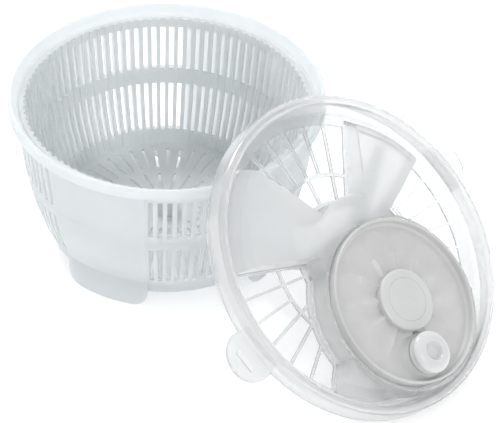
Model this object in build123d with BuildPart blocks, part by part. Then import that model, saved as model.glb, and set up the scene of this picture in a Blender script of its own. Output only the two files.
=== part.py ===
from build123d import *
import os
from math import acos, asin, cos, degrees, pi, radians, sin, tan

# Salad spinner with its lid off, leaning on the bowl. Millimetres, +Z up.
# The origin is on the surface it stands on, under the middle of the whole arrangement.

# ---- Where the bowl and the leaning lid stand -------------------------------------------------
BOWL_AT = (-88.3, 21.7)          # the bowl's axis
LID_FROM_BOWL = (196.0, -21.7)   # across to the middle of the lid's floor plate
LID_TILT = 41.3                  # between the lid's axis and the vertical, tipped towards +X

# ---- Outer bowl -------------------------------------------------------------------------------
BOWL_HEIGHT = 135
BOWL_WALL = 2.2
BOWL_OUTLINE = [(93.3, 9), (100.1, 25), (108, 50), (112.9, 75), (115.8, 100), (118.8, 124)]
BOWL_FLOOR_Z = 9
RIM_RADIUS = 125
COLLAR_SKIRT_Z = 126.6
FOOT_RADIUS = 101.1
FOOT_SPAN = 41                   # degrees of the wall that each solid foot panel takes
FOOT_DIRECTION = 10.5
PANEL_PROUD = 1.0
BOWL_EAR_DIRECTION = 56.5
BOWL_EAR_WIDTH = 20
BOWL_EAR_REACH = 132.5

# ---- Slots, on the same pitch in the bowl and in the basket -----------------------------------
SLOTS_AROUND = 96
SLOT_PITCH = 360 / SLOTS_AROUND
SLOT_OPEN = 2.1                  # degrees
SLOT_ROWS = [(26.2, 67), (79.8, 118.8)]
SLOTS_PER_WINDOW = 13

# ---- Basket -----------------------------------------------------------------------------------
SPIN_GAP = 2.5
BASKET_WALL = 2.0
RIB_DEPTH = 1.2
BASKET_RIM_Z = 127
BASKET_FLOOR_Z = 14.5
BASKET_HUB_TOP = 31

# ---- Shafts and bushes ------------------------------------------------------------------------
PIN_RADIUS = 3.0
SHAFT_RADIUS = 4.0
RUNNING_FIT = 0.06               # radial play of a shaft in its bush

# ---- Lid. Heights are along its own axis, from the top of its floor plate ---------------------
LID_RADIUS = 127
LID_WALL = 2.0
RIM_FOOT_INNER = 116              # where the rim's inner leg meets the floor plate
RIM_CROWN = (122.6, 14.6)        # centre of the rim's round top
RIM_CROWN_RADIUS = 3.9
DOME = [(114, 0), (112, 3), (106, 14), (100, 17), (66, 22), (0, 24)]
CENTRE_RADIUS = 44               # of the raised middle
WINDOW_STARTS = (48.3, 155.5, 312.8)
WINDOW_SPAN = 62.5
GRILLE_COLUMNS = 6
OUTER_CELLS = (69, 108)
INNER_CELLS = (47, 66)
GRILLE_BAR = 2.4
LID_EAR_DIRECTION = 183.2
LID_EAR_RADIUS = 20
LID_EAR_CENTRE = 131

# ---- Crank disc, its well in the lid, and the knob --------------------------------------------
CRANK_OFFSET = 48                # between the lid's axis and the crank's
DRUM_RADIUS = 69.5
WELL_RADIUS = 67.3
DRUM_TOP = 22
WELL_FLOOR = 6
DISC_RADIUS = 65
DISC_UNDERSIDE = 17
DISC_LIP = 27
DISH_RADIUS = 60
HUB_RADIUS = 24
HUB_SEAT = 26
PETALS = 12
KNOB_OFFSET = 43.5
KNOB_DIRECTION = 250.5
KNOB_TOP = 38

# ---- Gears ------------------------------------------------------------------------------------
GEAR_MODULE = 2.0
RING_TEETH = 60
PINION_TEETH = 12
PRESSURE_ANGLE = 20
BACKLASH = 0.4                   # shared by a pinion tooth and a ring space, along the pitch circle

# ---- Basket driver ----------------------------------------------------------------------------
DRIVER_ARMS = 3
DRIVER_DIRECTION = 28
DRIVER_REACH = 107
DRIVER_TIP = 111.2


# ---- Placing ----------------------------------------------------------------------------------
LID_HEIGHT = LID_RADIUS * sin(radians(LID_TILT))
LID_AT = (BOWL_AT[0] + LID_FROM_BOWL[0], BOWL_AT[1] + LID_FROM_BOWL[1], LID_HEIGHT)

bowl_plane = Plane((BOWL_AT[0], BOWL_AT[1], 0))
bowl_axis = Axis(bowl_plane.origin, (0, 0, 1))

lid_normal = Vector(sin(radians(LID_TILT)), 0, cos(radians(LID_TILT)))
lid_plane = Plane(LID_AT, x_dir=(0, 1, 0), z_dir=lid_normal)
lid_section = Plane(LID_AT, x_dir=(0, 1, 0), z_dir=lid_plane.y_dir * -1)
lid_axis = Axis(lid_plane.origin, lid_normal)

crank_origin = lid_plane.from_local_coords((0, -CRANK_OFFSET, 0))
crank_plane = Plane(crank_origin, x_dir=(0, 1, 0), z_dir=lid_normal)
crank_section = Plane(crank_origin, x_dir=(0, 1, 0), z_dir=lid_plane.y_dir * -1)
crank_axis = Axis(crank_origin, lid_normal)


def polar(radius, angle):
    return (radius * cos(radians(angle)), radius * sin(radians(angle)))


knob_x, knob_y = polar(KNOB_OFFSET, KNOB_DIRECTION)
knob_origin = crank_plane.from_local_coords((knob_x, knob_y, 0))
knob_section = Plane(knob_origin, x_dir=(0, 1, 0), z_dir=lid_plane.y_dir * -1)
knob_axis = Axis(knob_origin, lid_normal)


def bowl_section(direction):
    """An upright plane through the bowl's axis. Across it is the radius, up it is the height."""
    across = polar(1, direction)
    return Plane(
        bowl_plane.origin, x_dir=(across[0], across[1], 0), z_dir=(across[1], -across[0], 0)
    )


# ---- Outlines ---------------------------------------------------------------------------------
def profile(*points, mode=Mode.ADD):
    """A closed outline of straight lines."""
    with BuildLine() as outline:
        Polyline(*points, close=True)
    make_face(outline.edges(), mode=mode)


def turned(direction, *points):
    """The same points, turned about the middle."""
    return [
        (
            x * cos(radians(direction)) - y * sin(radians(direction)),
            x * sin(radians(direction)) + y * cos(radians(direction)),
        )
        for x, y in points
    ]


def block(inner, outer, low, high):
    """The outline of a plain ring or disc, for turning round its axis."""
    profile((inner, low), (outer, low), (outer, high), (inner, high))


def ring_sector(inner, outer, start, end, inset=0):
    """A piece of a ring between two directions, its straight sides moved in by `inset`."""
    inner_turn = degrees(asin(inset / inner))
    outer_turn = degrees(asin(inset / outer))
    middle = (start + end) / 2
    with BuildLine() as outline:
        Line(polar(inner, start + inner_turn), polar(outer, start + outer_turn))
        ThreePointArc(
            polar(outer, start + outer_turn), polar(outer, middle), polar(outer, end - outer_turn)
        )
        Line(polar(outer, end - outer_turn), polar(inner, end - inner_turn))
        ThreePointArc(
            polar(inner, end - inner_turn), polar(inner, middle), polar(inner, start + inner_turn)
        )
    make_face(outline.edges())


def wall_line(inward, low, high):
    """Points up the bowl's outer wall, moved inward, between two heights."""
    points = []
    for (lower, lower_z), (upper, upper_z) in zip(BOWL_OUTLINE, BOWL_OUTLINE[1:]):
        for z in (low, upper_z, high):
            if lower_z <= z <= upper_z and low <= z <= high:
                radius = lower + (upper - lower) * (z - lower_z) / (upper_z - lower_z)
                points.append((radius - inward, z))
    return sorted(set(points), key=lambda point: point[1])


def gear_outline(teeth, root, tip, tooth_width, direction, mode=Mode.ADD):
    """A spur gear with one tooth centred on `direction`. Its flanks are involutes."""
    pitch_radius = GEAR_MODULE * teeth / 2
    base_radius = pitch_radius * cos(radians(PRESSURE_ANGLE))
    pitch_roll = tan(radians(PRESSURE_ANGLE)) - radians(PRESSURE_ANGLE)

    def half_tooth(radius):
        pressure = acos(min(1, base_radius / radius))
        return degrees(tooth_width / 2 / pitch_radius + pitch_roll - tan(pressure) + pressure)

    start = max(root, base_radius)
    flank = [start + (tip - start) * step / 3 for step in range(4)]
    if root < base_radius:
        flank.insert(0, root)
    points = []
    for tooth in range(teeth):
        centre = direction + tooth * 360 / teeth
        points += [polar(radius, centre - half_tooth(radius)) for radius in flank]
        points += [polar(radius, centre + half_tooth(radius)) for radius in reversed(flank)]
    profile(*points, mode=mode)


# ---- Outer bowl -------------------------------------------------------------------------------
wall_top = BOWL_OUTLINE[-1][1]
with BuildPart() as outer_bowl:
    # Floor, wall, flared collar and its turned-down skirt
    with BuildSketch(bowl_section(0)):
        profile(
            (0, BOWL_FLOOR_Z),
            *wall_line(0, BOWL_FLOOR_Z, wall_top),
            (119.6, wall_top + 4.5),
            (122, BOWL_HEIGHT - 3),
            (123.2, BOWL_HEIGHT - 2.4),
            (123.2, COLLAR_SKIRT_Z),
            (RIM_RADIUS, COLLAR_SKIRT_Z),
            (RIM_RADIUS, BOWL_HEIGHT - 1.6),
            (123.6, BOWL_HEIGHT),
            (121.6, BOWL_HEIGHT),
            (117.4, wall_top + 5.5),
            (117, wall_top + 2),
            *reversed(wall_line(BOWL_WALL, BOWL_FLOOR_Z + BOWL_WALL, wall_top)),
            (0, BOWL_FLOOR_Z + BOWL_WALL),
        )
    revolve(axis=bowl_axis)

    # Solid panels between the slotted windows, each running down into a foot
    for quarter in range(4):
        start = FOOT_DIRECTION + 90 * quarter - FOOT_SPAN / 2
        with BuildSketch(bowl_section(start)):
            profile(
                (FOOT_RADIUS - BOWL_WALL, 0),
                (FOOT_RADIUS, 0),
                *wall_line(-PANEL_PROUD, 25, wall_top - 1),
                *reversed(wall_line(BOWL_WALL / 2, 23, wall_top - 1)),
            )
        revolve(axis=bowl_axis, revolution_arc=FOOT_SPAN)
    foot_corners = outer_bowl.edges().filter_by_position(Axis.Z, -0.1, 0.1)
    fillet(foot_corners.filter_by(GeomType.LINE), 13)

    # Four windows of upright slots, in two rows
    for low, high in SLOT_ROWS:
        with BuildSketch(bowl_plane.offset(low)):
            for quarter in range(4):
                middle = FOOT_DIRECTION + 45 + 90 * quarter
                for slot in range(SLOTS_PER_WINDOW):
                    centre = middle + (slot - (SLOTS_PER_WINDOW - 1) / 2) * SLOT_PITCH
                    ring_sector(85, 130, centre - SLOT_OPEN / 2, centre + SLOT_OPEN / 2)
        extrude(amount=high - low, mode=Mode.SUBTRACT)

    # Drain slots in the floor
    with BuildSketch(bowl_plane.offset(BOWL_FLOOR_Z)):
        with PolarLocations(62, 24):
            SlotOverall(36, 3)
    extrude(amount=BOWL_WALL, mode=Mode.SUBTRACT)

    # Boss for the pivot pin
    with BuildSketch(bowl_plane.offset(BOWL_FLOOR_Z)):
        Circle(9)
    extrude(amount=5.1)
    with BuildSketch(bowl_plane.offset(BOWL_FLOOR_Z + 0.8)):
        Circle(PIN_RADIUS)
    extrude(amount=5, mode=Mode.SUBTRACT)

    # Two ears that the lid's latches grip
    with BuildSketch(bowl_plane.offset(COLLAR_SKIRT_Z)):
        for direction in (BOWL_EAR_DIRECTION, BOWL_EAR_DIRECTION + 180):
            with Locations(Location(polar(BOWL_EAR_REACH - 5, direction) + (0,), direction)):
                RectangleRounded(10, BOWL_EAR_WIDTH, 2.5)
        Circle(RIM_RADIUS - 1, mode=Mode.SUBTRACT)
    extrude(amount=2.5)
outer_bowl.part.label = "outer_bowl"

with BuildPart() as pivot_pin:
    with BuildSketch(bowl_plane.offset(BOWL_FLOOR_Z + 0.8)):
        Circle(PIN_RADIUS)
    extrude(amount=17.8)
    chamfer(pivot_pin.edges().group_by(Axis.Z)[-1], 0.6)
pivot_pin.part.label = "pivot_pin"


# ---- Basket -----------------------------------------------------------------------------------
basket_in = BOWL_WALL + SPIN_GAP
rib_foot_z = BASKET_FLOOR_Z + BASKET_WALL

# One groove between two ribs with its two slots, the shape taken out all round the basket
with BuildPart() as basket_groove:
    with BuildSketch(bowl_section(-SLOT_OPEN / 2)):
        profile(
            (75, rib_foot_z),
            *wall_line(basket_in + BASKET_WALL, rib_foot_z, wall_top),
            (119 - basket_in - BASKET_WALL, BASKET_RIM_Z + 1),
            (75, BASKET_RIM_Z + 1),
        )
    revolve(axis=bowl_axis, revolution_arc=SLOT_OPEN)
    for low, high in SLOT_ROWS:
        with BuildSketch(bowl_plane.offset(low)):
            ring_sector(80, 130, -SLOT_OPEN / 2, SLOT_OPEN / 2)
        extrude(amount=high - low)

with BuildPart() as basket:
    with BuildSketch(bowl_section(0)):
        profile(
            (0, BASKET_FLOOR_Z),
            *wall_line(basket_in, BASKET_FLOOR_Z, wall_top - 1.5),
            (115.3, wall_top + 0.5),
            (115.3, BASKET_RIM_Z - 0.5),
            (114.8, BASKET_RIM_Z),
            (110.8, BASKET_RIM_Z),
            *reversed(wall_line(basket_in + BASKET_WALL + RIB_DEPTH, rib_foot_z, wall_top)),
            (0, rib_foot_z),
        )
    revolve(axis=bowl_axis)
    groove = basket_groove.part
    turns = [
        groove.rotate(bowl_axis, FOOT_DIRECTION + 45 + SLOT_PITCH * slot)
        for slot in range(SLOTS_AROUND)
    ]
    add(turns, mode=Mode.SUBTRACT)

    # Drain slots in the floor
    with BuildSketch(bowl_plane.offset(BASKET_FLOOR_Z)):
        with PolarLocations(36, 24):
            SlotOverall(26, 2.6)
        with PolarLocations(69, 48):
            SlotOverall(26, 2.6)
    extrude(amount=BASKET_WALL, mode=Mode.SUBTRACT)

    # Hub that takes the bush
    with BuildSketch(bowl_plane.offset(BASKET_FLOOR_Z)):
        Circle(10)
    extrude(amount=BASKET_HUB_TOP - BASKET_FLOOR_Z, taper=3)
    fillet(basket.edges().filter_by_position(Axis.Z, BASKET_HUB_TOP - 0.1, BASKET_HUB_TOP + 0.1), 2)
    with BuildSketch(bowl_plane.offset(BASKET_FLOOR_Z)):
        Circle(5.5)
    extrude(amount=13.7, mode=Mode.SUBTRACT)
basket.part.label = "basket"

with BuildPart() as pivot_bush:
    with BuildSketch(bowl_plane.offset(BASKET_FLOOR_Z)):
        Circle(5.5)
        Circle(PIN_RADIUS + RUNNING_FIT, mode=Mode.SUBTRACT)
    extrude(amount=13.7)
pivot_bush.part.label = "pivot_bush"


# ---- Lid --------------------------------------------------------------------------------------
def raised_panels(inset):
    """The space under the raised part of the lid, drawn in by `inset` all over."""
    with BuildPart() as space:
        with BuildSketch(lid_plane.offset(-LID_WALL)):
            for window, start in enumerate(WINDOW_STARTS):
                following = WINDOW_STARTS[(window + 1) % 3]
                end = following + (360 if following < start else 0)
                ring_sector(20, DOME[0][0] + 2, start + WINDOW_SPAN, end, inset)
            Circle(CENTRE_RADIUS - inset)
        extrude(amount=40)
        with BuildSketch(lid_section):
            profile(
                (0, -LID_WALL - 1),
                (DOME[0][0] - inset, -LID_WALL - 1),
                *[(max(radius - inset, 0), height - inset) for radius, height in DOME],
            )
        revolve(axis=lid_axis, mode=Mode.INTERSECT)
    return space.part


panels_outside = raised_panels(0)
panels_inside = raised_panels(LID_WALL)

crown_at, crown_height = RIM_CROWN
crown_inside = RIM_CROWN_RADIUS - LID_WALL

with BuildPart() as lid:
    # Floor plate, and the hollow rim that drops over the bowl's collar
    with BuildSketch(lid_section):
        profile(
            (0, -LID_WALL),
            (RIM_FOOT_INNER + 2, -LID_WALL),
            (crown_at - crown_inside, crown_height),
            (crown_at - RIM_CROWN_RADIUS, crown_height),
            (RIM_FOOT_INNER, 0),
            (0, 0),
        )
        profile(
            (LID_RADIUS - LID_WALL, 0),
            (LID_RADIUS, 0),
            (crown_at + RIM_CROWN_RADIUS, crown_height),
            (crown_at + crown_inside, crown_height),
        )
        with Locations((crown_at, crown_height)):
            Circle(RIM_CROWN_RADIUS)
            Circle(crown_inside, mode=Mode.SUBTRACT)
        with Locations((crown_at, crown_height - 5)):
            Rectangle(2 * crown_inside, 10, mode=Mode.SUBTRACT)
    revolve(axis=lid_axis)

    # Raised panels, open underneath
    add(panels_outside)
    add(panels_inside, mode=Mode.SUBTRACT)

    # Round well for the crank disc
    with BuildSketch(crank_plane.offset(-LID_WALL)):
        Circle(DRUM_RADIUS)
    extrude(amount=LID_WALL + DRUM_TOP)
    with BuildSketch(crank_plane.offset(WELL_FLOOR)):
        Circle(WELL_RADIUS)
    extrude(amount=30, mode=Mode.SUBTRACT)
    with BuildSketch(crank_plane.offset(-LID_WALL)):
        Circle(WELL_RADIUS)
    extrude(amount=WELL_FLOOR, mode=Mode.SUBTRACT)

    # Bosses under the well's floor for the crank axle and the drive shaft
    with BuildSketch(crank_plane.offset(0.5)):
        Circle(9)
    extrude(amount=WELL_FLOOR - 1.5)
    with BuildSketch(crank_plane.offset(0.5)):
        Circle(5)
    extrude(amount=WELL_FLOOR, mode=Mode.SUBTRACT)
    with BuildSketch(lid_plane.offset(-LID_WALL)):
        Circle(9.5)
    extrude(amount=WELL_FLOOR)
    with BuildSketch(lid_plane.offset(-LID_WALL)):
        Circle(6.5)
    extrude(amount=WELL_FLOOR + LID_WALL, mode=Mode.SUBTRACT)

    # Grilles in the three sunken windows
    with BuildSketch(lid_plane.offset(-LID_WALL)):
        column = WINDOW_SPAN / GRILLE_COLUMNS
        for start in WINDOW_STARTS:
            for first in range(GRILLE_COLUMNS):
                left = start + first * column
                ring_sector(*OUTER_CELLS, left, left + column, GRILLE_BAR / 2)
            for first, last in ((0, 1), (1, 3), (3, 5), (5, 6)):
                ring_sector(
                    *INNER_CELLS, start + first * column, start + last * column, GRILLE_BAR / 2
                )
        with Locations((0, -CRANK_OFFSET)):
            Circle(DRUM_RADIUS + 2, mode=Mode.SUBTRACT)
    extrude(amount=LID_WALL, mode=Mode.SUBTRACT)

    # Ears, each with the rib that catches the bowl
    for direction in (LID_EAR_DIRECTION, LID_EAR_DIRECTION + 180):
        with BuildSketch(lid_plane):
            with Locations(polar(LID_EAR_CENTRE, direction)):
                Circle(LID_EAR_RADIUS)
            Circle(LID_RADIUS - 1, mode=Mode.SUBTRACT)
        extrude(amount=2.4)
        with BuildSketch(lid_plane.offset(2.4)):
            with Locations(Location(polar(138.5, direction) + (0,), direction)):
                RectangleRounded(4, 18, 1.5)
        extrude(amount=1.2)
lid.part.label = "lid"

with BuildPart() as shaft_bush:
    with BuildSketch(lid_plane.offset(-LID_WALL)):
        Circle(6.5)
        Circle(SHAFT_RADIUS + RUNNING_FIT, mode=Mode.SUBTRACT)
    extrude(amount=WELL_FLOOR + LID_WALL)
shaft_bush.part.label = "shaft_bush"

with BuildPart() as crank_axle:
    with BuildSketch(crank_section):
        profile(
            (0, 0.5), (5, 0.5), (5, 6), (9, 6), (9, 8), (SHAFT_RADIUS, 8), (SHAFT_RADIUS, 22.6), (0, 22.6)
        )
    revolve(axis=crank_axis)
    with BuildSketch(crank_plane.offset(12)):
        Circle(1.8)
    extrude(amount=12, mode=Mode.SUBTRACT)
crank_axle.part.label = "crank_axle"

with BuildPart() as crank_washer:
    with BuildSketch(crank_plane.offset(22.6)):
        Circle(8.5)
        Circle(1.8, mode=Mode.SUBTRACT)
    extrude(amount=1.2)
crank_washer.part.label = "crank_washer"

with BuildPart() as crank_screw:
    with BuildSketch(crank_section):
        profile((0, 12.5), (1.8, 13.5), (1.8, 23.8), (3.6, 23.8), (3.6, 25.2), (2.6, 26), (0, 26))
    revolve(axis=crank_axis)
    with BuildSketch(crank_plane.offset(25)):
        Rectangle(4, 0.8)
        Rectangle(0.8, 4)
    extrude(amount=1.5, mode=Mode.SUBTRACT)
crank_screw.part.label = "crank_screw"


# ---- Crank ------------------------------------------------------------------------------------
def dish_height(radius):
    """Top of the dished web at a radius."""
    rise = (HUB_SEAT - 21) * (DISH_RADIUS - radius) / (DISH_RADIUS - HUB_RADIUS)
    return 21 + rise


# One flute between two petal ridges: a wide cone that fades towards the lip
with BuildPart() as flute:
    with BuildSketch(Plane.XY.offset(DISC_UNDERSIDE + 1)):
        ring_sector(HUB_RADIUS + 0.4, DISH_RADIUS - 0.4, -180 / PETALS, 180 / PETALS)
    extrude(amount=12)
    for station, depth, radius in ((22, 4, 6.2), (38, 2.4, 20), (60, -0.3, 150)):
        centre = dish_height(station) - depth + radius
        with BuildSketch(Plane((station, 0, centre), x_dir=(0, 1, 0), z_dir=(1, 0, 0))):
            Circle(radius)
    loft(ruled=True, mode=Mode.INTERSECT)

with BuildPart() as crank_disc:
    with BuildSketch(crank_section):
        profile(
            (7, 8.5),
            (10, 8.5),
            (10, DISC_UNDERSIDE),
            (24, DISC_UNDERSIDE),
            (25, DISC_UNDERSIDE + 3),
            (48.5, DISC_UNDERSIDE + 3),
            (49.5, DISC_UNDERSIDE),
            (DISC_RADIUS, DISC_UNDERSIDE),
            (DISC_RADIUS, DISC_LIP - 0.7),
            (DISC_RADIUS - 0.7, DISC_LIP),
            (DISC_RADIUS - 1.5, DISC_LIP),
            (DISC_RADIUS - 2.2, DISC_LIP - 0.8),
            (DISC_RADIUS - 3, 22.6),
            (DISH_RADIUS + 0.8, 21.3),
            (DISH_RADIUS, dish_height(DISH_RADIUS)),
            (HUB_RADIUS, HUB_SEAT),
            (16, HUB_SEAT),
            (16, 22),
            (7, 22),
        )
    revolve(axis=crank_axis)
    with Locations(crank_plane):
        with PolarLocations(0, PETALS, start_angle=180 / PETALS):
            add(flute.part, mode=Mode.SUBTRACT)

    # Raised seat for the knob, with the hole for its pin
    with BuildSketch(knob_section):
        with BuildLine():
            Polyline((17, HUB_SEAT), (0, HUB_SEAT), (0, 20.5), (21.5, 20.5))
            Spline((21.5, 20.5), (19, 22.6), (17, HUB_SEAT))
        make_face()
    revolve(axis=knob_axis)
    with BuildSketch(knob_section):
        block(0, PIN_RADIUS, 20.5 + 1, HUB_SEAT + 5)
    revolve(axis=knob_axis, mode=Mode.SUBTRACT)

    # Pilot holes for the ring gear's screws
    with BuildSketch(crank_plane.offset(DISC_UNDERSIDE)):
        with PolarLocations(54, 4, start_angle=45):
            Circle(1.5)
    extrude(amount=3, mode=Mode.SUBTRACT)
crank_disc.part.label = "crank_disc"

with BuildPart() as crank_bush:
    with BuildSketch(crank_section):
        block(SHAFT_RADIUS + RUNNING_FIT, 7, 8.3, 22)
    revolve(axis=crank_axis)
crank_bush.part.label = "crank_bush"

with BuildPart() as hub_cap:
    with BuildSketch(crank_section):
        profile(
            (0, 26.9),
            (14.4, 26.9),
            (14.4, 23),
            (16, 23),
            (16, HUB_SEAT),
            (HUB_RADIUS, HUB_SEAT),
            (HUB_RADIUS + 0.2, 27.4),
            (HUB_RADIUS - 0.2, 28.1),
            (HUB_RADIUS - 1.1, 28.6),
            (HUB_RADIUS - 2.4, 28.8),
            (17.4, 28.8),
            (17.1, 28.5),
            (16.8, 28.8),
            (0, 28.5),
        )
    revolve(axis=crank_axis)
hub_cap.part.label = "hub_cap"

with BuildPart() as ring_gear:
    with BuildSketch(crank_plane.offset(8.5)):
        Circle(64.5)
        space_width = pi * GEAR_MODULE / 2 + BACKLASH / 2
        gear_outline(RING_TEETH, 58.9, 62.4, space_width, 90, mode=Mode.SUBTRACT)
    extrude(amount=7)
    with BuildSketch(crank_plane.offset(15.5)):
        Circle(64.5)
        Circle(50, mode=Mode.SUBTRACT)
    extrude(amount=1.5)
    with BuildSketch(crank_plane.offset(15.5)):
        with PolarLocations(54, 4, start_angle=45):
            Circle(3)
    extrude(amount=1.5, taper=45, mode=Mode.SUBTRACT)
ring_gear.part.label = "ring_gear"

with BuildPart() as ring_gear_screws:
    with BuildSketch(crank_plane.offset(15.5)):
        with PolarLocations(54, 4, start_angle=45):
            Circle(3)
    extrude(amount=1.5, taper=45)
    with BuildSketch(crank_plane.offset(17)):
        with PolarLocations(54, 4, start_angle=45):
            Circle(1.5)
    extrude(amount=2.8)
ring_gear_screws.part.label = "ring_gear_screws"

with BuildPart() as knob_pin:
    with BuildSketch(knob_section):
        profile((0, 21.5), (PIN_RADIUS, 21.5), (PIN_RADIUS, 31.8), (4.6, 31.8), (4.6, 33.3), (0, 33.3))
    revolve(axis=knob_axis)
knob_pin.part.label = "knob_pin"

with BuildPart() as knob:
    with BuildSketch(knob_section):
        with BuildLine():
            bore = PIN_RADIUS + RUNNING_FIT
            Polyline((bore, HUB_SEAT + 0.3), (15.2, HUB_SEAT + 0.3), (15.7, HUB_SEAT + 1.2))
            Spline((15.7, HUB_SEAT + 1.2), (15.3, HUB_SEAT + 4.5), (16.4, KNOB_TOP - 5))
            Spline((16.4, KNOB_TOP - 5), (15.2, KNOB_TOP - 2.2), (12.2, KNOB_TOP - 0.4), (9.6, KNOB_TOP))
            Spline((9.6, KNOB_TOP), (7.6, KNOB_TOP - 0.7), (6.3, KNOB_TOP - 2.6), (5.2, KNOB_TOP - 3.6))
            Polyline((5.2, KNOB_TOP - 3.6), (5.2, 31.5), (bore, 31.5), (bore, HUB_SEAT + 0.3))
        make_face()
    revolve(axis=knob_axis)
knob.part.label = "knob"

with BuildPart() as knob_cap:
    with BuildSketch(knob_section):
        profile((0, 33.6), (5.2, 33.6), (5.2, 34.2), (4.8, 34.3), (0, 34))
    revolve(axis=knob_axis)
knob_cap.part.label = "knob_cap"


# ---- Pinion, its shaft and the basket driver --------------------------------------------------
with BuildPart() as pinion_gear:
    with BuildSketch(lid_plane.offset(8)):
        gear_outline(PINION_TEETH, 9.5, 13.9, pi * GEAR_MODULE / 2 - BACKLASH / 2, 90)
        Circle(SHAFT_RADIUS, mode=Mode.SUBTRACT)
    extrude(amount=6.8)
pinion_gear.part.label = "pinion_gear"

with BuildPart() as drive_shaft:
    with BuildSketch(lid_section):
        profile((0, -6.2), (SHAFT_RADIUS, -6.2), (SHAFT_RADIUS, 14.4), (3.6, 14.8), (0, 14.8))
    revolve(axis=lid_axis)
    with BuildSketch(lid_plane.offset(-6.2)):
        Circle(1.6)
    extrude(amount=8, mode=Mode.SUBTRACT)
drive_shaft.part.label = "drive_shaft"

with BuildPart() as shaft_washer:
    with BuildSketch(lid_plane.offset(6.4)):
        Circle(8.5)
        Circle(SHAFT_RADIUS, mode=Mode.SUBTRACT)
    extrude(amount=1.6)
shaft_washer.part.label = "shaft_washer"

with BuildPart() as basket_driver:
    with BuildSketch(lid_plane.offset(-8)):
        Circle(13)
        for arm in range(DRIVER_ARMS):
            direction = DRIVER_DIRECTION + 360 * arm / DRIVER_ARMS
            profile(
                *turned(
                    direction,
                    (0, -8),
                    (DRIVER_REACH, -5),
                    (DRIVER_REACH, -1.5),
                    (DRIVER_TIP, -1.5),
                    (DRIVER_TIP, 1.5),
                    (DRIVER_REACH, 1.5),
                    (DRIVER_REACH, 5),
                    (0, 8),
                )
            )
    extrude(amount=4)
    with BuildSketch(lid_plane.offset(-4)):
        Circle(7.5)
    extrude(amount=1.6)
    with BuildSketch(lid_plane.offset(-6.2)):
        Circle(SHAFT_RADIUS)
    extrude(amount=5, mode=Mode.SUBTRACT)
    with BuildSketch(lid_plane.offset(-8)):
        Circle(1.6)
    extrude(amount=2, mode=Mode.SUBTRACT)
basket_driver.part.label = "basket_driver"

with BuildPart() as driver_screw:
    with BuildSketch(lid_section):
        profile((0, -9.8), (2.6, -9.8), (3.6, -9.2), (3.6, -8), (1.6, -8), (1.6, 1), (0, 1.6))
    revolve(axis=lid_axis)
    with BuildSketch(lid_plane.offset(-10)):
        Rectangle(4, 0.8)
        Rectangle(0.8, 4)
    extrude(amount=1.2, mode=Mode.SUBTRACT)
driver_screw.part.label = "driver_screw"


# ---- Files ------------------------------------------------------------------------------------
os.makedirs("parts", exist_ok=True)
export_step(outer_bowl.part, "parts/outer_bowl.step")
export_step(pivot_pin.part, "parts/pivot_pin.step")
export_step(basket.part, "parts/basket.step")
export_step(pivot_bush.part, "parts/pivot_bush.step")
export_step(lid.part, "parts/lid.step")
export_step(shaft_bush.part, "parts/shaft_bush.step")
export_step(crank_axle.part, "parts/crank_axle.step")
export_step(crank_washer.part, "parts/crank_washer.step")
export_step(crank_screw.part, "parts/crank_screw.step")
export_step(crank_disc.part, "parts/crank_disc.step")
export_step(crank_bush.part, "parts/crank_bush.step")
export_step(hub_cap.part, "parts/hub_cap.step")
export_step(ring_gear.part, "parts/ring_gear.step")
export_step(ring_gear_screws.part, "parts/ring_gear_screws.step")
export_step(knob_pin.part, "parts/knob_pin.step")
export_step(knob.part, "parts/knob.step")
export_step(knob_cap.part, "parts/knob_cap.step")
export_step(pinion_gear.part, "parts/pinion_gear.step")
export_step(drive_shaft.part, "parts/drive_shaft.step")
export_step(shaft_washer.part, "parts/shaft_washer.step")
export_step(basket_driver.part, "parts/basket_driver.step")
export_step(driver_screw.part, "parts/driver_screw.step")
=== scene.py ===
import math

import bpy
from mathutils import Matrix, Vector


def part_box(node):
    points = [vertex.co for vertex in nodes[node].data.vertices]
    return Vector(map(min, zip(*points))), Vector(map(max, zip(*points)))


# Salad spinner: clear geared lid leaning on a frosted slotted bowl. Metres, +Z up.
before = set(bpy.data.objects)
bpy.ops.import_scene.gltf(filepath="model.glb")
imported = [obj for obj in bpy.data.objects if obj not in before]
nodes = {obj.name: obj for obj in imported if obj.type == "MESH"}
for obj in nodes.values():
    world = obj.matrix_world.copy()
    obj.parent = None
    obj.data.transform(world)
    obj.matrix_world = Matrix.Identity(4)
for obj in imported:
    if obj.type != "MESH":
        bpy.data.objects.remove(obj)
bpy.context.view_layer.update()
scene = bpy.context.scene

# ---- Camera -----------------------------------------------------------------------
AZIMUTH, ELEVATION, ROLL = math.radians(36.5), math.radians(39.16), math.radians(1.89)
DISTANCE = 2.2  # from the camera to what it is aimed at
AIM_X, AIM_Y = 0.05507, 0.04074  # what it is aimed at, from the bowl's axis
AIM_HEIGHT = 0.0176  # and above the table
SENSOR_WIDTH, FOCAL_LENGTH = 36, 195.39  # mm
CLIP_START, CLIP_END = 0.1, 20


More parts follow.
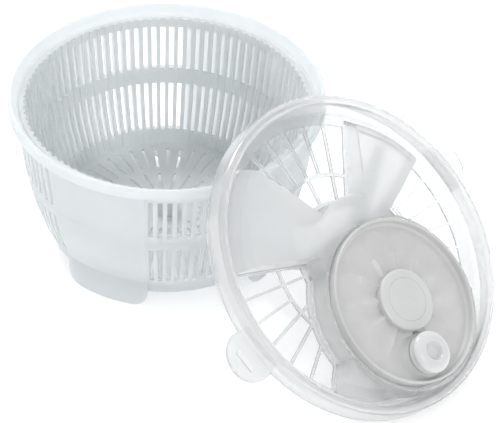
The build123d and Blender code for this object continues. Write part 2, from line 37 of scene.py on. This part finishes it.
def place_camera():
    pin_lo, pin_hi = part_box("pivot_pin")
    bowl_axis = (pin_lo + pin_hi) / 2
    target = Vector((bowl_axis.x + AIM_X, bowl_axis.y + AIM_Y, AIM_HEIGHT))
    forward = Vector(
        (
            -math.sin(AZIMUTH) * math.cos(ELEVATION),
            math.cos(AZIMUTH) * math.cos(ELEVATION),
            -math.sin(ELEVATION),
        )
    )
    level = Vector((math.cos(AZIMUTH), math.sin(AZIMUTH), 0))
    upright = level.cross(forward)
    right = level * math.cos(ROLL) + upright * math.sin(ROLL)
    up = upright * math.cos(ROLL) - level * math.sin(ROLL)
    axes = Matrix((right, up, -forward)).transposed().to_4x4()

    data = bpy.data.cameras.new("camera")
    data.sensor_fit = "HORIZONTAL"
    data.sensor_width = SENSOR_WIDTH
    data.lens = FOCAL_LENGTH
    data.clip_start = CLIP_START
    data.clip_end = CLIP_END
    camera = bpy.data.objects.new("camera", data)
    scene.collection.objects.link(camera)
    scene.camera = camera
    camera.matrix_world = Matrix.Translation(target - forward * DISTANCE) @ axes


place_camera()

# ---- Lid's own space --------------------------------------------------------------
LID_TILT = math.radians(41.3)
LID_NORMAL = Vector((math.sin(LID_TILT), 0, math.cos(LID_TILT)))
PINION_HEIGHT = 0.0114  # its middle, above the lid's floor plate
pinion_lo, pinion_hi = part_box("pinion_gear")
LID_CENTRE = (pinion_lo + pinion_hi) / 2 - LID_NORMAL * PINION_HEIGHT

# ---- Materials --------------------------------------------------------------------
NOISE_ROUGHNESS = 0.55
NOISE_SPREAD = (0.3, 0.7)  # nearly all of a noise lies between these

# Each noise by its scale and detail, each bump by its strength and depth
PLASTIC_CLOUD, PLASTIC_GRAIN, PLASTIC_BUMP = (38, 5), (1400, 2), (0.35, 0.00004)
METAL_CLOUD, METAL_GRAIN, METAL_BUMP = (900, 3), (2600, 2), (0.3, 0.00002)

PLASTIC_IOR, PLASTIC_COAT_ROUGHNESS = 1.46, 0.08
METAL_DARKER, METAL_ROUGHER = 0.82, 0.12

LID_IOR, LID_TRANSMISSION = 1.45, 0.93
LID_COAT, LID_COAT_ROUGHNESS = 0.8, 0.06
PANEL_FOOT = (0.0015, 0.005)  # where walls and panels start, above the floor plate
PANEL_EDGE = (0.117, 0.114)  # where the panels stop, from the lid's middle


class Shader:
    """A material's node tree, with short names for what is used here."""

    def __init__(self, name):
        self.material = bpy.data.materials.new(name)
        self.material.use_nodes = True
        self.tree = self.material.node_tree
        self.tree.nodes.clear()

    def node(self, kind, inputs=None, **settings):
        """A new node. Each of its inputs takes a plain value or another's output."""
        made = self.tree.nodes.new("ShaderNode" + kind)
        for name, setting in settings.items():
            setattr(made, name, setting)
        for name, value in (inputs or {}).items():
            self.feed(made.inputs[name], value)
        return made

    def feed(self, socket, value):
        if isinstance(value, bpy.types.NodeSocket):
            self.tree.links.new(value, socket)
        else:
            socket.default_value = value

    def noise(self, scale, detail):
        place = self.node("TexCoord").outputs["Object"]
        values = {"Scale": scale, "Detail": detail, "Roughness": NOISE_ROUGHNESS}
        return self.node("TexNoise", {"Vector": place, **values}).outputs["Fac"]

    def remap(self, source, before, after, **settings):
        """The source, with the first pair of numbers moved to the second pair."""
        ends = ("From Min", "From Max", "To Min", "To Max")
        values = dict(zip(ends, (*before, *after)))
        return self.node("MapRange", {"Value": source, **values}, **settings).outputs["Result"]

    def step(self, source, ends):
        """A smooth step from 0 at the first end to 1 at the second."""
        return self.remap(source, ends, (0, 1), interpolation_type="SMOOTHSTEP")

    def colours(self, source, first, second):
        """One colour where a noise is low, another where it is high."""
        ramp = self.node("ValToRGB", {"Fac": source})
        stops = ramp.color_ramp.elements
        for stop, position, colour in zip(stops, NOISE_SPREAD, (first, second)):
            stop.position = position
            stop.color = (*colour, 1)
        return ramp.outputs["Color"]

    def blend(self, factor, first, second):
        """One colour where the factor is 0, another where it is 1."""
        mix = self.node("Mix", data_type="RGBA")
        enabled = [socket for socket in mix.inputs if socket.enabled]
        for source, socket in zip((factor, first, second), enabled):
            self.feed(socket, source)
        return next(socket for socket in mix.outputs if socket.enabled)

    def vector(self, operation, first, second=None, output="Value"):
        inputs = {0: first} if second is None else {0: first, 1: second}
        return self.node("VectorMath", inputs, operation=operation).outputs[output]

    def bump(self, grain, size):
        strength, depth = size
        values = {"Strength": strength, "Distance": depth}
        return self.node("Bump", {"Height": self.noise(*grain), **values}).outputs["Normal"]

    def veil(self, surface, colour, haze):
        """The surface, with part of it scattering light through its skin instead."""
        skin = self.node("BsdfTranslucent", {"Color": colour}).outputs["BSDF"]
        return self.node("MixShader", {"Fac": haze, 1: surface, 2: skin}).outputs["Shader"]

    def finish(self, surface):
        self.node("OutputMaterial", {"Surface": surface})
        return self.material


def plastic(name, first, second, rough, transmission=0.0, coat=0.0, haze=0.0):
    """Moulded plastic, from clear to solid. `haze` is how much scatters in its skin."""
    shader = Shader(name)
    cloud = shader.noise(*PLASTIC_CLOUD)
    body = shader.node(
        "BsdfPrincipled",
        {
            "Base Color": shader.colours(cloud, first, second),
            "Roughness": shader.remap(cloud, NOISE_SPREAD, rough),
            "Normal": shader.bump(PLASTIC_GRAIN, PLASTIC_BUMP),
            "IOR": PLASTIC_IOR,
            "Transmission Weight": transmission,
            "Coat Weight": coat,
            "Coat Roughness": PLASTIC_COAT_ROUGHNESS,
        },
    )
    surface = body.outputs["BSDF"]
    if haze:
        surface = shader.veil(surface, (*second, 1), haze)
    return shader.finish(surface)


def clear_moulding(name, floor_colours, painted_light_wall_colours, rough, haze):
    """The lid's plastic: greyer in its floor, frosted on its panels, and painted paler on
    everything raised off the floor, a painted light that lifts the shade falling on its walls
    and panels.

    `rough` and `haze` each give the clear parts' value and then the panels'.
    """
    shader = Shader(name)
    cloud = shader.noise(*PLASTIC_CLOUD)
    place = shader.node("TexCoord").outputs["Object"]
    offset = shader.vector("SUBTRACT", place, LID_CENTRE, "Vector")
    raised = shader.step(shader.vector("DOT_PRODUCT", offset, LID_NORMAL), PANEL_FOOT)
    within = shader.step(shader.vector("LENGTH", offset), PANEL_EDGE)
    panel = shader.node("Math", {0: raised, 1: within}, operation="MULTIPLY")
    panel = panel.outputs["Value"]
    floor_tint = shader.colours(cloud, *floor_colours)
    # Painted light: everything raised off the floor plate gets a paler colour, to lift the
    # shade it falls in.
    painted_light_wall_tint = shader.colours(cloud, *painted_light_wall_colours)
    tint = shader.blend(raised, floor_tint, painted_light_wall_tint)
    body = shader.node(
        "BsdfPrincipled",
        {
            "Base Color": tint,
            "Roughness": shader.remap(panel, (0, 1), rough),
            "Normal": shader.bump(PLASTIC_GRAIN, PLASTIC_BUMP),
            "IOR": LID_IOR,
            "Transmission Weight": LID_TRANSMISSION,
            "Coat Weight": LID_COAT,
            "Coat Roughness": LID_COAT_ROUGHNESS,
        },
    )
    veiled = shader.veil(body.outputs["BSDF"], tint, shader.remap(panel, (0, 1), haze))
    return shader.finish(veiled)


def metal(name, colour, rough):
    shader = Shader(name)
    cloud = shader.noise(*METAL_CLOUD)
    dark = tuple(channel * METAL_DARKER for channel in colour)
    body = shader.node(
        "BsdfPrincipled",
        {
            "Base Color": shader.colours(cloud, dark, colour),
            "Roughness": shader.remap(cloud, NOISE_SPREAD, (rough, rough + METAL_ROUGHER)),
            "Normal": shader.bump(METAL_GRAIN, METAL_BUMP),
            "Metallic": 1.0,
        },
    )
    return shader.finish(body.outputs["BSDF"])


frosted_bowl = plastic(
    "frosted_bowl",
    (0.88, 0.905, 0.915),
    (0.92, 0.94, 0.95),
    rough=(0.34, 0.44),
    transmission=0.5,
    haze=0.42,
)
frosted_basket = plastic(
    "frosted_basket",
    (0.86, 0.88, 0.885),
    (0.90, 0.915, 0.92),
    rough=(0.30, 0.40),
    transmission=0.5,
    haze=0.38,
)
clear_lid = clear_moulding(
    "clear_lid",
    floor_colours=((0.84, 0.855, 0.86), (0.88, 0.89, 0.895)),
    # painted light: these paler colours lift the shade on the lid's walls and panels
    painted_light_wall_colours=((0.97, 0.978, 0.982), (0.983, 0.99, 0.993)),
    rough=(0.08, 0.30),
    haze=(0.20, 0.38),
)
milky_disc = plastic(
    "milky_disc",
    (0.53, 0.535, 0.53),
    (0.58, 0.585, 0.58),
    rough=(0.30, 0.38),
    coat=0.35,
    haze=0.04,
)
cap_plastic = plastic(
    "cap_plastic",
    (0.56, 0.565, 0.565),
    (0.61, 0.615, 0.615),
    rough=(0.26, 0.34),
    coat=0.35,
    haze=0.04,
)
knob_plastic = plastic(
    "knob_plastic",
    (0.62, 0.63, 0.64),
    (0.67, 0.68, 0.69),
    rough=(0.22, 0.30),
    coat=0.5,
    haze=0.06,
)
gear_plastic = plastic(
    "gear_plastic", (0.86, 0.86, 0.84), (0.90, 0.90, 0.88), rough=(0.42, 0.5)
)
bush_plastic = plastic(
    "bush_plastic", (0.88, 0.88, 0.86), (0.92, 0.92, 0.90), rough=(0.35, 0.45)
)
driver_plastic = plastic(
    "driver_plastic",
    (0.90, 0.92, 0.92),
    (0.94, 0.955, 0.955),
    rough=(0.35, 0.45),
    transmission=0.6,
    haze=0.3,
)
steel = metal("steel", (0.62, 0.62, 0.63), rough=0.28)

finishes = {
    "outer_bowl": frosted_bowl,
    "basket": frosted_basket,
    "lid": clear_lid,
    "crank_disc": milky_disc,
    "hub_cap": cap_plastic,
    "knob": knob_plastic,
    "knob_cap": knob_plastic,
    "ring_gear": gear_plastic,
    "pinion_gear": gear_plastic,
    "pivot_bush": bush_plastic,
    "shaft_bush": bush_plastic,
    "crank_bush": bush_plastic,
    "shaft_washer": bush_plastic,
    "basket_driver": driver_plastic,
    "pivot_pin": steel,
    "crank_axle": steel,
    "crank_washer": steel,
    "crank_screw": steel,
    "ring_gear_screws": steel,
    "knob_pin": steel,
    "drive_shaft": steel,
    "driver_screw": steel,
}
for name, finish in finishes.items():
    mesh = nodes[name].data
    mesh.materials.clear()
    mesh.materials.append(finish)

# ---- Floor and light --------------------------------------------------------------
WHITE = (1, 1, 1, 1)
FLOOR_HALF = 4
FLOOR_DROP = 0.0002  # under the feet, so that no two faces share a plane
PAPER_ROUGHNESS = 0.85
PAPER_GLOW = 0.30  # a light table, so shadows stay faint
PAPER_CLOUD = (3, 3)
WORLD_STRENGTH = 0.9
LIGHT_AIM = Vector((0, 0, 0.06))


def floor_paper():
    shader = Shader("floor_paper")
    cloud = shader.noise(*PAPER_CLOUD)
    body = shader.node(
        "BsdfPrincipled",
        {
            "Base Color": shader.colours(cloud, (0.93, 0.93, 0.93), (0.95, 0.95, 0.95)),
            "Roughness": PAPER_ROUGHNESS,
            "Emission Color": WHITE,
            "Emission Strength": PAPER_GLOW,
        },
    )
    return shader.finish(body.outputs["BSDF"])


corners = [
    (-FLOOR_HALF, -FLOOR_HALF, 0),
    (FLOOR_HALF, -FLOOR_HALF, 0),
    (FLOOR_HALF, FLOOR_HALF, 0),
    (-FLOOR_HALF, FLOOR_HALF, 0),
]
floor_mesh = bpy.data.meshes.new("floor")
floor_mesh.from_pydata(corners, [], [(0, 1, 2, 3)])
floor_mesh.materials.append(floor_paper())
floor = bpy.data.objects.new("floor", floor_mesh)
floor.location.z = -FLOOR_DROP
scene.collection.objects.link(floor)

world = bpy.data.worlds.new("studio")
scene.world = world
world.use_nodes = True
background = world.node_tree.nodes["Background"]
background.inputs["Color"].default_value = WHITE
background.inputs["Strength"].default_value = WORLD_STRENGTH


def area_light(name, place, size, power):
    data = bpy.data.lights.new(name, "AREA")
    data.shape = "RECTANGLE"
    data.size, data.size_y = size
    data.energy = power
    lamp = bpy.data.objects.new(name, data)
    scene.collection.objects.link(lamp)
    lamp.location = place
    lamp.rotation_mode = "QUATERNION"
    lamp.rotation_quaternion = (LIGHT_AIM - Vector(place)).to_track_quat("-Z", "Y")


area_light("key", place=(-1.3, 0.4, 1.6), size=(0.5, 0.5), power=22)
area_light("fill", place=(1.4, -0.5, 1.3), size=(1.0, 0.7), power=6)

scene.view_settings.view_transform = "Standard"
scene.view_settings.look = "None"
